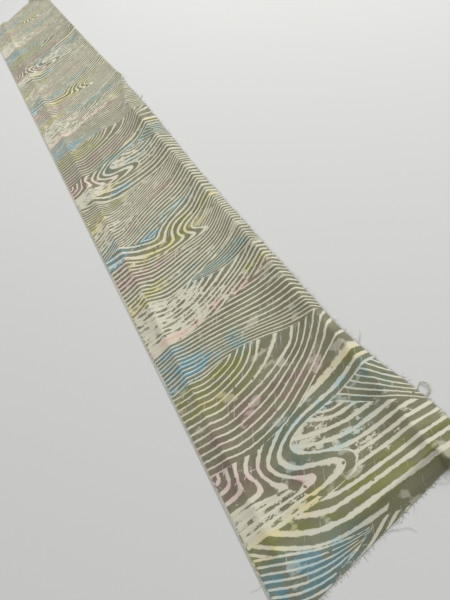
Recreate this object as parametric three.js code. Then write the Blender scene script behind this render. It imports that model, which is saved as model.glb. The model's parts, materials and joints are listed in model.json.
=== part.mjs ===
// A long strip of thin printed cloth, the unsewn body cloth of a streamer, lying face up.
// Millimetres, +Z up, +Y along the strip from its near end to its far end, +X towards the raw cut edge.
//
// The strip is one woven length. It is divided here at the folds pressed into it, so that each
// panel is a solid of its own: a wide main panel, a narrow margin beyond each lengthwise crease,
// a lip beyond the ridge at the near end and a corner turned up at the far end. The yarns that
// stick out of the raw edges are solids too.
//
// Plan places are given as (across, along): across is measured from the woven selvage and along
// from a line just before the near end. place() turns them into the part's own frame, whose
// origin is the middle of the bottom of the whole strip's box.

import * as THREE from "three";

// Driving dimensions.
const CLOTH = 1.0; // panel thickness, including the air that the weave's waves take up
const GAP = 0.4; // kept between neighbouring panels
const CENTRE_ACROSS = 84.1; // plan place of the origin
const CENTRE_ALONG = 684.9;

const SELVAGE_BAND = 2.5; // the tightly woven band along the left edge
const SELVAGE_CREASE_NEAR = 20; // the left crease drifts inwards towards the far end
const SLIT_START = 1.2; // width of the slit before the selvage margin, at the crease
const SLIT_SLOPE = 0.3; // how fast the slit widens towards the selvage
const SELVAGE_CREASE_DRIFT = 20 / 1320;
const CUT_CREASE_NEAR = 148; // the right crease, a ridge, drifts slightly the other way
const CUT_CREASE_DRIFT = -6 / 600;
const CUT_CREASE_END = 640; // where it stops and the fold steps outwards
const STEP_END = 726; // where the outward step reaches the far fold
const STEP_CLEARANCE = 7; // along, between the step and the free end of the cut margin
const FAR_FOLD = 164; // the right-hand fold of the far stretch
const SELVAGE_RIDGE = 4; // how far the left crease stands off the table
const SELVAGE_RISE = 16; // the main panel climbs to it over this width
const SELVAGE_START = 30; // and over this length behind the near edge
const CREASE_HEIGHT = 8; // how far the right crease stands off the table
const RISE_WIDTH = 28; // the main panel climbs to it over this width
const TURNED_LAYER = 1.4; // lift of the far stretch where it lies on its turned-under margin
const TURNED_INNER = 146; // inner edge of the turned-under margin

const RIDGE_NEAR = 29; // the near ridge, across 0
const RIDGE_SLOPE = 0.105;
const RIDGE_FADE = 46; // the cloth comes down from the ridge to the table over this length
const NEAR_EDGE = 10.5; // the raw near edge, across 0
const NEAR_SLOPE = 0.145;
const FAR_EDGE = 1315; // the cut far edge, across 0
const FAR_SLOPE = 0.3;
const CORNER_ACROSS = 119; // the corner fold starts here on the far edge
const CORNER_ALONG = 1270; // and ends here on the right-hand fold
const CORNER_LIFT = (40 * Math.PI) / 180;

const YARN = 0.5; // loose yarn diameter
const FRAY_SPINE = 0.8;
const FRAY_TOOTH = 1.2;
const FRAY_PITCH = 9;

const smooth = (low, high, x) => THREE.MathUtils.smoothstep(x, low, high);
const place = (across, along, height) =>
  new THREE.Vector3(across - CENTRE_ACROSS, along - CENTRE_ALONG, height);

// The lines that divide the strip.
const selvageCrease = (along) => SELVAGE_CREASE_NEAR + SELVAGE_CREASE_DRIFT * along;
const cutCrease = (along) => CUT_CREASE_NEAR + CUT_CREASE_DRIFT * along;
const nearRidge = (across) => RIDGE_NEAR + RIDGE_SLOPE * across;
const nearEdge = (across) => NEAR_EDGE + NEAR_SLOPE * across;
const farEdge = (across) => FAR_EDGE + FAR_SLOPE * across;

// Right-hand side of the main panel: the crease, the step outwards, then the far fold.
function panelRight(along) {
  if (along < CUT_CREASE_END) return cutCrease(along);
  const start = cutCrease(CUT_CREASE_END);
  const step = (along - CUT_CREASE_END) / (STEP_END - CUT_CREASE_END);
  return start + (FAR_FOLD - start) * Math.min(1, step);
}

// Far side of the main panel: the cut edge, then the corner fold.
function panelFar(across) {
  if (across < CORNER_ACROSS) return farEdge(across);
  const part = (across - CORNER_ACROSS) / (FAR_FOLD - CORNER_ACROSS);
  return THREE.MathUtils.lerp(farEdge(CORNER_ACROSS), CORNER_ALONG, part);
}

// The raw right edge: it lies wide at the near end and hangs steeper further on.
function rawEdge(along) {
  const near = 15.5 * (1 - smooth(40, 165, along));
  const far = 7.5 * smooth(380, 660, along);
  return 156 + near + far;
}

// Height of the left crease's crest: it starts on the table at the near edge.
function selvageCrest(along) {
  const start = nearEdge(SELVAGE_CREASE_NEAR);
  return SELVAGE_RIDGE * (1 - Math.exp(-Math.max(0, along - start) / SELVAGE_START));
}

// Height of the near ridge's crest, from the left crease's height there to the right one's.
function ridgeHeight(across) {
  const span = CUT_CREASE_NEAR - SELVAGE_CREASE_NEAR;
  const part = THREE.MathUtils.clamp((across - SELVAGE_CREASE_NEAR) / span, 0, 1);
  const low = selvageCrest(nearRidge(SELVAGE_CREASE_NEAR));
  return THREE.MathUtils.lerp(low, CREASE_HEIGHT, part);
}

// Height of the main panel's underside over the table.
function panelHeight(across, along) {
  const right = panelRight(along);
  const nearStretch = 1 - smooth(CUT_CREASE_END - 60, STEP_END, along);
  const lift = THREE.MathUtils.lerp(TURNED_LAYER, CREASE_HEIGHT, nearStretch);
  const inner = THREE.MathUtils.lerp(TURNED_INNER - 6, right, nearStretch);
  const side = lift * smooth(inner - RISE_WIDTH * Math.max(nearStretch, 0.4), inner, across);
  const ridge = ridgeHeight(across);
  const back = (along - nearRidge(across)) / RIDGE_FADE;
  const end = ridge * (1 - smooth(0, 1, back));
  const fromCrease = (across - selvageCrease(along)) / SELVAGE_RISE;
  const selvageSide = selvageCrest(along) * (1 - smooth(0, 1, fromCrease));
  return Math.max(side, end, selvageSide);
}

// A closed sheet of even thickness over a grid of plan places. plan(a, b) gives the place for
// a and b from 0 to 1, height(across, along) its underside.
function sheet(columns, rows, plan, height) {
  const points = [];
  const index = [];
  const stride = columns + 1;
  const layer = stride * (rows + 1);
  for (const lift of [0, CLOTH])
    for (let j = 0; j <= rows; j += 1)
      for (let i = 0; i <= columns; i += 1) {
        const [across, along] = plan(i / columns, j / rows);
        points.push(...place(across, along, height(across, along) + lift).toArray());
      }
  const quad = (a, b, c, d) => index.push(a, b, c, a, c, d);
  for (let j = 0; j < rows; j += 1)
    for (let i = 0; i < columns; i += 1) {
      const a = j * stride + i;
      quad(a, a + stride, a + stride + 1, a + 1);
      quad(layer + a, layer + a + 1, layer + a + stride + 1, layer + a + stride);
    }
  for (let i = 0; i < columns; i += 1) {
    const far = rows * stride + i;
    quad(i, i + 1, layer + i + 1, layer + i);
    quad(far + 1, far, layer + far, layer + far + 1);
  }
  for (let j = 0; j < rows; j += 1) {
    const left = j * stride;
    const right = left + columns;
    quad(left + stride, left, layer + left, layer + left + stride);
    quad(right, right + stride, layer + right + stride, layer + right);
  }
  const geometry = new THREE.BufferGeometry();
  geometry.setAttribute("position", new THREE.Float32BufferAttribute(points, 3));
  geometry.setIndex(index);
  geometry.computeVertexNormals();
  return geometry;
}

// A plan for a panel between two lengthwise lines and two ends. The lines depend on along and the
// ends on across, so the corner of each grid cell is settled in a few rounds.
function between(left, right, near, far) {
  return (a, b) => {
    let across = THREE.MathUtils.lerp(left(0), right(0), a);
    let along = 0;
    for (let round = 0; round < 12; round += 1) {
      along = THREE.MathUtils.lerp(near(across), far(across), b);
      across = THREE.MathUtils.lerp(left(along), right(along), a);
    }
    return [across, along];
  };
}

// A comb of yarn ends along a raw edge: edge(u) is a plan place on the edge for u from 0 to 1,
// out the direction that the ends point in.
function comb(edge, out, length) {
  const teeth = Math.max(3, Math.round(length / FRAY_PITCH));
  const outline = new THREE.Shape();
  const put = (u, reach) => {
    const [across, along] = edge(u);
    return [across + out[0] * reach - CENTRE_ACROSS, along + out[1] * reach - CENTRE_ALONG];
  };
  outline.moveTo(...put(0, GAP));
  for (let k = 0; k < teeth; k += 1) {
    const from = k / teeth;
    const width = 1 / teeth;
    const reach = GAP + FRAY_SPINE + FRAY_TOOTH * (1 + 0.5 * Math.sin(2.4 * k));
    outline.lineTo(...put(from, GAP + FRAY_SPINE));
    outline.lineTo(...put(from + 0.35 * width, reach));
    outline.lineTo(...put(from + 0.6 * width, GAP + FRAY_SPINE));
  }
  outline.lineTo(...put(1, GAP + FRAY_SPINE));
  for (let k = teeth; k > 0; k -= 1) outline.lineTo(...put(k / teeth, GAP));
  return new THREE.ExtrudeGeometry(outline, { depth: YARN, bevelEnabled: false });
}

// A loose yarn: a thin round solid along a smooth curve through plan places with heights.
function yarn(route, steps = 14) {
  const curve = new THREE.CatmullRomCurve3(route.map(([s, t, z]) => place(s, t, z)));
  const section = new THREE.Shape();
  section.absarc(0, 0, YARN / 2, 0, 2 * Math.PI, false);
  return new THREE.ExtrudeGeometry(section, { steps, curveSegments: 3, extrudePath: curve });
}

const streamer = new THREE.Group();

function add(name, geometry, color, roughness = 0.9) {
  const material = new THREE.MeshStandardMaterial({ color, roughness, metalness: 0 });
  const mesh = new THREE.Mesh(geometry, material);
  mesh.name = name;
  streamer.add(mesh);
  return mesh;
}

const PRINT = 0x8f8f78;
const SELVAGE = 0xd8d3c2;
const RAW_YARN = 0xbdb8a2;

// Main panel, between the two creases and from the near ridge to the far edge.
const behindRidge = (across) => nearRidge(across) + GAP / 2;
// The selvage margin is slit back in a wedge, so that folded over it lies clear of the raised lip.
const behindSlit = (across) =>
  behindRidge(across) + SLIT_START + SLIT_SLOPE * (SELVAGE_CREASE_NEAR - across);
add(
  "main_panel",
  sheet(
    15,
    64,
    between(
      (along) => selvageCrease(along) + GAP / 2,
      (along) => panelRight(along) - GAP / 2,
      behindRidge,
      (across) => panelFar(across) - GAP / 2,
    ),
    panelHeight,
  ),
  PRINT,
);

// Selvage margin, left of the left crease, with the tightly woven band along its edge.
const flat = () => 0;
const selvageHeight = (across, along) => {
  const width = selvageCrease(along) - SELVAGE_BAND;
  return selvageCrest(along) * Math.max(0, (across - SELVAGE_BAND) / width);
};
add(
  "selvage_margin",
  sheet(
    3,
    40,
    between(
      () => SELVAGE_BAND + GAP,
      (along) => selvageCrease(along) - GAP / 2,
      behindSlit,
      farEdge,
    ),
    selvageHeight,
  ),
  PRINT,
);
add(
  "selvage_band",
  sheet(1, 12, between(() => 0, () => SELVAGE_BAND, behindSlit, farEdge), flat),
  SELVAGE,
);

// Cut margin: the open stretch of the right-hand margin, sloping from the crease to the table.
const marginFar = (across) => {
  const start = cutCrease(CUT_CREASE_END);
  const part = (across - start) / (FAR_FOLD - start);
  return THREE.MathUtils.lerp(CUT_CREASE_END, STEP_END, part) - STEP_CLEARANCE;
};
const marginHeight = (across, along) => {
  const crease = cutCrease(along);
  const width = rawEdge(along) - crease;
  const shown = THREE.MathUtils.clamp((across - crease) / width, 0, 1);
  const lowered = 1 - smooth(CUT_CREASE_END - 60, STEP_END, along) * 0.75;
  return CREASE_HEIGHT * lowered * (1 - shown);
};
add(
  "cut_margin",
  sheet(
    5,
    34,
    between((along) => cutCrease(along) + GAP / 2, rawEdge, behindRidge, marginFar),
    marginHeight,
  ),
  PRINT,
);

// Turned-under margin: the far stretch of the same margin, folded beneath the main panel.
add(
  "turned_under_margin",
  sheet(
    2,
    10,
    between(
      () => TURNED_INNER,
      () => FAR_FOLD - GAP,
      () => STEP_END + 8,
      () => CORNER_ALONG - 12,
    ),
    flat,
  ),
  PRINT,
);

// Near lip: the whole width of the cloth beyond the ridge. It falls from the ridge to the table
// and ends at the raw near edge, and the two lengthwise creases run on through it.
const lipHeight = (across, along) => {
  const ridge = nearRidge(across);
  const down = THREE.MathUtils.clamp((along - nearEdge(across)) / (ridge - nearEdge(across)), 0, 1);
  const left = selvageCrease(ridge);
  const right = cutCrease(ridge);
  const rise = Math.max(0, (across - SELVAGE_BAND) / (left - SELVAGE_BAND));
  if (across < left) return selvageCrest(ridge) * rise * down;
  if (across > right) return marginHeight(across, ridge) * down;
  return ridgeHeight(across) * down;
};
add(
  "near_lip",
  sheet(
    14,
    4,
    between(() => 0, rawEdge, nearEdge, (across) => nearRidge(across) - GAP / 2),
    lipHeight,
  ),
  PRINT,
);

// Far corner, turned up about the line from the far edge to the right-hand fold.
const foldStart = place(CORNER_ACROSS, farEdge(CORNER_ACROSS), 0);
const foldEnd = place(FAR_FOLD, CORNER_ALONG, 0);
const corner = place(FAR_FOLD, farEdge(FAR_FOLD), 0);
const foldLength = foldEnd.distanceTo(foldStart);
const foldAngle = Math.atan2(foldEnd.y - foldStart.y, foldEnd.x - foldStart.x);
const cornerLocal = corner.clone().sub(foldStart).applyAxisAngle(new THREE.Vector3(0, 0, 1), -foldAngle);
const flap = new THREE.Shape();
flap.moveTo(1.5, GAP);
flap.lineTo(foldLength - 1.5, GAP);
flap.lineTo(cornerLocal.x, cornerLocal.y);
flap.closePath();
const flapMesh = add(
  "far_corner_flap",
  new THREE.ExtrudeGeometry(flap, { depth: CLOTH, bevelEnabled: false }),
  PRINT,
);
const hingeLift = TURNED_LAYER + CLOTH + GAP;
const flapTurn = new THREE.Group();
flapTurn.position.copy(foldStart).setZ(hingeLift);
flapTurn.rotation.z = foldAngle;
const flapRise = new THREE.Group();
flapRise.rotation.x = CORNER_LIFT;
flapMesh.position.z = -CLOTH;
flapRise.add(flapMesh);
flapTurn.add(flapRise);
streamer.add(flapTurn);

// Frayed raw edges.
add(
  "near_lip_fringe",
  comb((u) => {
    const across = THREE.MathUtils.lerp(SELVAGE_CREASE_NEAR + 2, 165, u);
    return [across, nearEdge(across)];
  }, [0, -1], 135),
  RAW_YARN,
);
add(
  "cut_margin_fringe",
  comb((u) => {
    const along = THREE.MathUtils.lerp(STEP_END - 16, 52, u);
    return [rawEdge(along), along];
  }, [1, 0], STEP_END - 68),
  RAW_YARN,
);
add(
  "far_edge_fringe",
  comb((u) => {
    const across = THREE.MathUtils.lerp(CORNER_ACROSS - 3, selvageCrease(FAR_EDGE) + 2, u);
    return [across, farEdge(across)];
  }, [0, 1], 78),
  RAW_YARN,
);

// Loose yarns pulled out of the raw edges and the selvage.
const onTable = YARN / 2 + 0.05;
add(
  "near_curl_yarn",
  yarn([[93, 20.6, onTable], [98, 20.2, 0.6], [103, 18, 0.5], [106, 13.5, onTable]]),
  RAW_YARN,
);
add("near_wisp_yarn", yarn([[136, 26.8, onTable], [140, 26.2, 0.9], [145, 26.8, 1.6]]), RAW_YARN);
add("margin_spike_yarn", yarn([[161.5, 138, onTable], [164, 140, 1.2], [166, 143, 2.4]]), RAW_YARN);
add(
  "margin_yarn_loop",
  yarn(
    [[172.6, 82, onTable], [175.5, 85, 1.0], [177, 81, 1.4], [174.6, 76.5, 1.0], [172.8, 74.5, onTable]],
    20,
  ),
  RAW_YARN,
);
add("margin_yarn_tuft", yarn([[167.8, 648, onTable], [170, 651, 1.6], [169.6, 656, 2.8]]), RAW_YARN);
add("far_fold_yarn", yarn([[164.6, 722, 1.5], [167, 726, 2.2], [168.5, 731, 2.6]]), RAW_YARN);
add(
  "selvage_stray_yarn",
  yarn([[-0.6, 39, onTable], [-4, 38.2, onTable], [-9, 39.6, onTable]]),
  RAW_YARN,
);

export default streamer;
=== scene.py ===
"""A long strip of thin printed cloth for a streamer, lying on a pale table.

The cloth is drawn in a plan: across is measured from the woven selvage and along from a line just
before the near end, both in millimetres. One grid of plan places covers the whole strip, its columns
following the lengthwise creases and its rows the ridge at the near end. The pieces are cut out of that
grid at the folds, so that they share their borders. The turned-up corner and the turned-under margin
have grids of their own, which start on the first one. A piece rides on its CAD body, and the strip of
cloth at a fold stays where it was built, on no body.
"""

import json
import math

import bpy
import numpy as np
from mathutils import Matrix, Vector


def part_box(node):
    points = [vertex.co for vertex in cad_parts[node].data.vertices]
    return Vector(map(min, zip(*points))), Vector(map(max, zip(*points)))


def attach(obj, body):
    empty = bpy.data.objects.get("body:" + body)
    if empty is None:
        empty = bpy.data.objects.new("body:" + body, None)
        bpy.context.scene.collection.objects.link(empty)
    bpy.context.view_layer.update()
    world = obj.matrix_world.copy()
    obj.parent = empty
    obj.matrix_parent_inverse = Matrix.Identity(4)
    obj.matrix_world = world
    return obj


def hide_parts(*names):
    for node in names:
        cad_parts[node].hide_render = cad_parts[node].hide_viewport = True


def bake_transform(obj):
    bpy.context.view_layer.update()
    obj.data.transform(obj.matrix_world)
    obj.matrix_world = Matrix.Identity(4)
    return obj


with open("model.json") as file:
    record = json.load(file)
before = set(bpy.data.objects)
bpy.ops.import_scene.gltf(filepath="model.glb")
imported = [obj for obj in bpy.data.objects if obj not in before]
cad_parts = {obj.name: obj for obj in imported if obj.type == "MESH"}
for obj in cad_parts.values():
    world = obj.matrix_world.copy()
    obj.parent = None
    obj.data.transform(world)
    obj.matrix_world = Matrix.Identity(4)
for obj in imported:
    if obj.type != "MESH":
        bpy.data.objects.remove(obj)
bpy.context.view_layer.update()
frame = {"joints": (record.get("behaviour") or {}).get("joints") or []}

MM = 0.001

# ---------------------------------------------------------------- camera

CAMERA_ACROSS = 97.81      # plan place of the camera, mm
CAMERA_ALONG = 16.21
CAMERA_HEIGHT = 324.78
CAMERA_HEADING = 1.596     # degrees to the left of straight along the strip
CAMERA_DOWN = 54.396       # degrees below the horizon
CAMERA_ROLL = -37.267      # degrees, the camera is held askew
CAMERA_LENS = 24.749       # mm, on a 36 mm long side

NEAR_EDGE = 10.5           # the raw near edge, across 0
lip_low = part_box("near_lip")[0]
ORIGIN_ACROSS = -lip_low.x / MM
ORIGIN_ALONG = NEAR_EDGE - lip_low.y / MM


def place(across, along, height):
    """Plan places and heights in mm to points in the frame in metres."""
    x = (np.asarray(across, float) - ORIGIN_ACROSS) * MM
    y = (np.asarray(along, float) - ORIGIN_ALONG) * MM
    z = np.asarray(height, float) * MM
    return np.stack(np.broadcast_arrays(x, y, z), -1)


def add_object(name, data):
    found = bpy.data.objects.new(name, data)
    bpy.context.scene.collection.objects.link(found)
    return found


def make_camera():
    data = bpy.data.cameras.new("camera")
    data.sensor_width = 36
    data.lens = CAMERA_LENS
    camera = add_object("camera", data)
    turn = (
        Matrix.Rotation(math.radians(CAMERA_HEADING), 4, "Z")
        @ Matrix.Rotation(math.radians(90 - CAMERA_DOWN), 4, "X")
        @ Matrix.Rotation(math.radians(CAMERA_ROLL), 4, "Z")
    )
    spot = place(CAMERA_ACROSS, CAMERA_ALONG, CAMERA_HEIGHT)
    camera.matrix_world = Matrix.Translation(spot) @ turn
    bpy.context.scene.camera = camera


make_camera()

# ---------------------------------------------------------------- plan of the cloth

SELVAGE_BAND = 2.5         # width of the tightly woven band
LEFT_CREASE = 20           # the left crease at the near end, and its drift for each mm along
LEFT_DRIFT = 20 / 1320
RIGHT_CREASE = 148         # the right crease, likewise
RIGHT_DRIFT = -0.01
NEAR_RIDGE = 29            # the near ridge at across 0, and its slope
RIDGE_SLOPE = 0.105
NEAR_SLOPE = 0.145         # slope of the raw near edge
FAR_EDGE = 1315            # the cut far edge at across 0, and its slope
FAR_SLOPE = 0.3
RAW_EDGE = 156             # the raw right edge where it is narrowest
NEAR_FLARE = 15.5          # how much wider it is at the near end, and before the step
STEP_FLARE = 7.5
STEP_REACH = 166           # how far out the step of the right fold heads
CUT_CREASE_END = 640       # where the right crease starts to step outwards
MARGIN_END = 720           # where the open stretch of the right margin ends
TURN_START = 746           # where the margin starts to be turned under
FAR_FOLD = 164
TURNED_INNER = 147         # inner edge of the turned-under margin
CORNER_ACROSS = 119        # the corner fold starts here on the far edge
CORNER_ALONG = 1270        # and ends here on the right-hand fold
CORNER_LIFT = math.radians(40)
CREST_LEAN = 2.2           # the right crest leans outwards over its crease
CREASE_HALF = 6.5          # half width of the cloth that bends at a crease
CLOTH = 0.36               # thickness of the cloth

SELVAGE_RIDGE = 4.4        # crest heights over the table
CUT_RIDGE = 8.4
TURNED_RIDGE = 2.0
LEFT_HOLLOW = 18           # widths of the hollows between the crests and the flat cloth
RIGHT_HOLLOW = 36
TURNED_HOLLOW = 12
END_HOLLOW = 48
LONG_WAVE = 0.45           # heights of the slack cloth's waves and puckers
SHORT_WAVE = 0.16
PUCKER = 0.42
OVER_TURNED = 0.75         # lift of the cloth that lies on its turned-under margin
END_LIFT = 0.9             # lift of the far edge


def smooth(low, high, x):
    u = np.clip((x - low) / (high - low), 0, 1)
    return u * u * (3 - 2 * u)


def lerp(a, b, u):
    return a + (b - a) * u


def selvage_crease(t):
    return LEFT_CREASE + LEFT_DRIFT * t


def cut_crease(t):
    return RIGHT_CREASE + RIGHT_DRIFT * t


def near_ridge(s):
    return NEAR_RIDGE + RIDGE_SLOPE * s


def near_edge(s):
    return NEAR_EDGE + NEAR_SLOPE * s


def far_edge(s):
    return FAR_EDGE + FAR_SLOPE * s


def fold_line(t):
    """Right-hand side of the main panel: the crease, a step outwards, then the far fold."""
    start = cut_crease(CUT_CREASE_END) + CREST_LEAN
    stepped = lerp(start, STEP_REACH, smooth(CUT_CREASE_END, TURN_START, t) ** 1.15)
    settled = FAR_FOLD + 3.5 * np.exp(-np.maximum(0, t - TURN_START) / 60)
    far = np.where(t < TURN_START, np.minimum(stepped, settled), settled)
    near = cut_crease(t) + CREST_LEAN * smooth(50, 110, t)
    return np.where(t < CUT_CREASE_END, near, far)


def raw_edge(t):
    """The raw right edge: wide at the near end, narrow further on, and wider again before the step."""
    edge = RAW_EDGE + NEAR_FLARE * (1 - smooth(40, 165, t)) + STEP_FLARE * smooth(380, 660, t)
    return np.maximum(edge + ripple(t, 0, 23, 5) * 0.5, fold_line(t) + 1.5)


def panel_far(s):
    """Far side of the main panel: the cut edge, then the corner fold."""
    part = (s - CORNER_ACROSS) / (FAR_FOLD - CORNER_ACROSS)
    corner = lerp(far_edge(CORNER_ACROSS), CORNER_ALONG, part)
    return np.where(s < CORNER_ACROSS, far_edge(s), corner)


def ripple(s, t, length, seed):
    """A smooth wave field, mostly from -1 to 1, with about that wave length: the same on every run."""
    total = 0.0
    for k in range(5):
        angle = 2.4 * k + seed
        pace = 2 * math.pi / (length * (0.75 + 0.17 * k))
        total = total + np.sin(pace * (s * math.cos(angle) + t * math.sin(angle)) + 1.7 * k * seed)
    return total / 3.2


# ---------------------------------------------------------------- relief of the cloth


def selvage_crest(t):
    start = near_edge(20)
    grown = 1 - np.exp(-np.maximum(0, t - start) / 30)
    return SELVAGE_RIDGE * grown * (1 + 0.16 * ripple(0, t, 70, 3))


def cut_crest(t):
    """The right crease stands tall along the open margin and lies low over the turned one."""
    low = 1 - smooth(CUT_CREASE_END - 60, TURN_START, t)
    return lerp(TURNED_RIDGE, CUT_RIDGE, low) * (1 + 0.1 * ripple(0, t, 60, 8))


def ridge_crest(s):
    part = np.clip((s - 20) / 128, 0, 1)
    low = SELVAGE_RIDGE * (1 - math.exp(-(near_ridge(20) - near_edge(20)) / 30))
    return lerp(low, CUT_RIDGE, part)


def rounded(distance, radius):
    """A distance from a crest that starts off slowly, so that the crest is round."""
    return np.sqrt(distance * distance + radius * radius) - radius


def cloth_height(s, t):
    """Height of the cloth's upper face over the table."""
    crease, fold, edge = selvage_crease(t), fold_line(t), raw_edge(t)
    # From each crease the cloth falls in a hollow curve, steepest at the crest.
    left = selvage_crest(t) * np.clip(1 - rounded(s - crease, 1.5) / LEFT_HOLLOW, 0, 1) ** 2.2
    width = lerp(TURNED_HOLLOW, RIGHT_HOLLOW, 1 - smooth(600, 740, t))
    right = cut_crest(t) * np.clip(1 - rounded(fold - s, 2.5) / width, 0, 1) ** 2.1
    behind = np.clip((t - near_ridge(s)) / END_HOLLOW, 0, 1)
    end = ridge_crest(s) * (1 - behind) ** 1.8
    panel = np.maximum(np.maximum(left, right), end)
    # The soft joins between those three hollows.
    others = left + right + end - panel
    panel = panel + 0.18 * others
    inner = np.clip(1 - rounded(crease - s, 1.5) / crease, 0, 1)
    selvage_side = selvage_crest(t) * inner ** 2.1
    out = np.clip(rounded(s - fold, 1.2) / np.maximum(edge - fold, 0.5), 0, 1)
    cut_side = cut_crest(t) * (1 - out) ** 1.15
    lip_run = np.clip((t - near_edge(s)) / (near_ridge(s) - near_edge(s)), 0, 1)
    lip = ridge_crest(s) * lip_run ** 1.25
    height = np.where(t < near_ridge(s), np.minimum(lip, panel + 50), panel)
    height = np.where(s < crease, selvage_side, height)
    height = np.where(s > fold, cut_side, height)
    # Slack in the cloth: long low waves, and short puckers beside the creases and the raw edge.
    edge_near = np.minimum(np.abs(s - crease), np.abs(s - fold))
    pucker = np.exp(-edge_near / 14)
    waves = LONG_WAVE * (1 + ripple(s, 0.7 * t, 95, 1)) + SHORT_WAVE * (1 + ripple(s, t, 34, 2))
    waves = waves + PUCKER * pucker * (1 + ripple(0.35 * s, t, 19, 4))
    over_turned = smooth(142, 149, s) * smooth(TURN_START - 25, TURN_START, t)
    waves = waves + OVER_TURNED * over_turned
    lift = END_LIFT * np.exp(-np.maximum(0, panel_far(s) - t) / 9) * (1 + ripple(s, 0, 40, 6))
    calm = smooth(0, 4, s) * smooth(0, 4, edge - s) * smooth(-0.5, 5, t - near_edge(s))
    return CLOTH + height + waves * calm + lift


# ---------------------------------------------------------------- grid


def stations(counts):
    """Places along a row of cells, counted in whole lines: counts has the cells between two lines."""
    found = [line + k / cells for line, cells in enumerate(counts) for k in range(cells)]
    return np.array(found + [len(counts)])


# Cells between one column line and the next, and between one row line and the next.
COLUMN_CELLS = [2, 8, 4, 4, 50, 14, 4, 3, 7]
ROW_CELLS = [9, 4, 4, 300, 300, 4]
ROW_SPLIT = 600            # a row line, so that the near rows can be finer than the far ones


def column_lines(t):
    crease, fold, edge = selvage_crease(t), fold_line(t), raw_edge(t)
    first = np.minimum(CREASE_HALF, 0.4 * (edge - fold))
    zero = np.zeros_like(t)
    return [
        zero, zero + SELVAGE_BAND, crease - CREASE_HALF, crease, crease + CREASE_HALF,
        zero + CORNER_ACROSS, fold - CREASE_HALF, fold, fold + first, edge,
    ]


def row_lines(s):
    ridge, far = near_ridge(s), panel_far(s)
    zero = np.zeros_like(s)
    return [
        near_edge(s) + zero, ridge - CREASE_HALF, ridge, ridge + CREASE_HALF,
        zero + ROW_SPLIT, far - lerp(4, 8, smooth(100, 120, s)), far,
    ]


def between_lines(lines, at):
    """The place between the lines for each station in at, which counts in whole lines."""
    stack = np.stack(lines)
    low = np.minimum(at.astype(int), len(lines) - 2)
    part = at - low
    point = np.arange(stack.shape[1])
    return stack[low, point] * (1 - part) + stack[low + 1, point] * part


def make_grid():
    """Plan places of the grid's corners. Columns depend on along and rows on across."""
    columns, rows = np.meshgrid(stations(COLUMN_CELLS), stations(ROW_CELLS))
    s = columns.ravel() / len(COLUMN_CELLS) * 160
    for _ in range(14):
        t = between_lines(row_lines(s), rows.ravel())
        s = between_lines(column_lines(t), columns.ravel())
    return s.reshape(columns.shape), t.reshape(columns.shape)


grid_s, grid_t = make_grid()
grid_z = cloth_height(grid_s, grid_t)
grid_points = place(grid_s, grid_t, grid_z)
grid_plan = np.stack([grid_s, grid_t], -1)


def unit_normals(points):
    """Upward unit normals of a grid of points."""
    along_rows = np.gradient(points, axis=0)
    along_columns = np.gradient(points, axis=1)
    normal = np.cross(along_columns, along_rows)
    return normal / np.maximum(np.linalg.norm(normal, axis=-1, keepdims=True), 1e-12)


# ---------------------------------------------------------------- meshes


def closed_sheet(name, points, normals, plan, keep, material):
    """A closed thin sheet over the kept cells of a grid.

    points are the upper face's places in metres, plan the flat cloth places that carry the print.
    """
    rows, columns = points.shape[:2]
    lower = points - normals * CLOTH * MM
    corner = np.arange(rows * columns).reshape(rows, columns)
    a, b = corner[:-1, :-1], corner[:-1, 1:]
    c, d = corner[1:, 1:], corner[1:, :-1]
    top = np.stack([a, b, c, d], -1)[keep]
    count = rows * columns
    faces = [top, top[:, ::-1] + count]
    # Walls stand where a kept cell has no kept neighbour.
    padded = np.pad(keep, 1)
    for first, second, step in ((a, b, (-1, 0)), (b, c, (0, 1)), (c, d, (1, 0)), (d, a, (0, -1))):
        beside = padded[1 + step[0] : rows + step[0], 1 + step[1] : columns + step[1]]
        open_side = keep & ~beside
        u, v = first[open_side], second[open_side]
        faces.append(np.stack([v, u, u + count, v + count], -1))
    faces = np.concatenate(faces)
    used, index = np.unique(faces, return_inverse=True)
    index = index.reshape(faces.shape)
    vertices = np.concatenate([points.reshape(-1, 3), lower.reshape(-1, 3)])[used]
    mesh = bpy.data.meshes.new(name)
    mesh.vertices.add(len(vertices))
    mesh.vertices.foreach_set("co", vertices.astype(np.float32).ravel())
    mesh.loops.add(faces.size)
    mesh.loops.foreach_set("vertex_index", index.astype(np.int32).ravel())
    mesh.polygons.add(len(faces))
    mesh.polygons.foreach_set("loop_start", (np.arange(len(faces)) * 4).astype(np.int32))
    mesh.polygons.foreach_set("use_smooth", np.ones(len(faces), bool))
    mesh.update(calc_edges=True)
    side = np.concatenate([np.ones(count), np.zeros(count)])[used]
    flat = np.concatenate([plan.reshape(-1, 2)] * 2)[used]
    put_attribute(mesh, "cloth_place", np.column_stack([flat, side]))
    for attribute, values in print_fields(flat[:, 0], flat[:, 1]).items():
        put_attribute(mesh, attribute, values)
    shade = np.concatenate([normals.reshape(-1, 3), -normals.reshape(-1, 3)])[used]
    mesh.normals_split_custom_set_from_vertices(shade)
    mesh.materials.append(material)
    return add_object(name, mesh)


def put_attribute(mesh, name, values):
    kind = {1: "FLOAT", 3: "FLOAT_VECTOR", 4: "FLOAT_COLOR"}[values.shape[1] if values.ndim > 1 else 1]
    attribute = mesh.attributes.new(name, kind, "POINT")
    field = {"FLOAT": "value", "FLOAT_VECTOR": "vector", "FLOAT_COLOR": "color"}[kind]
    attribute.data.foreach_set(field, np.ascontiguousarray(values, np.float32).ravel())


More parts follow.
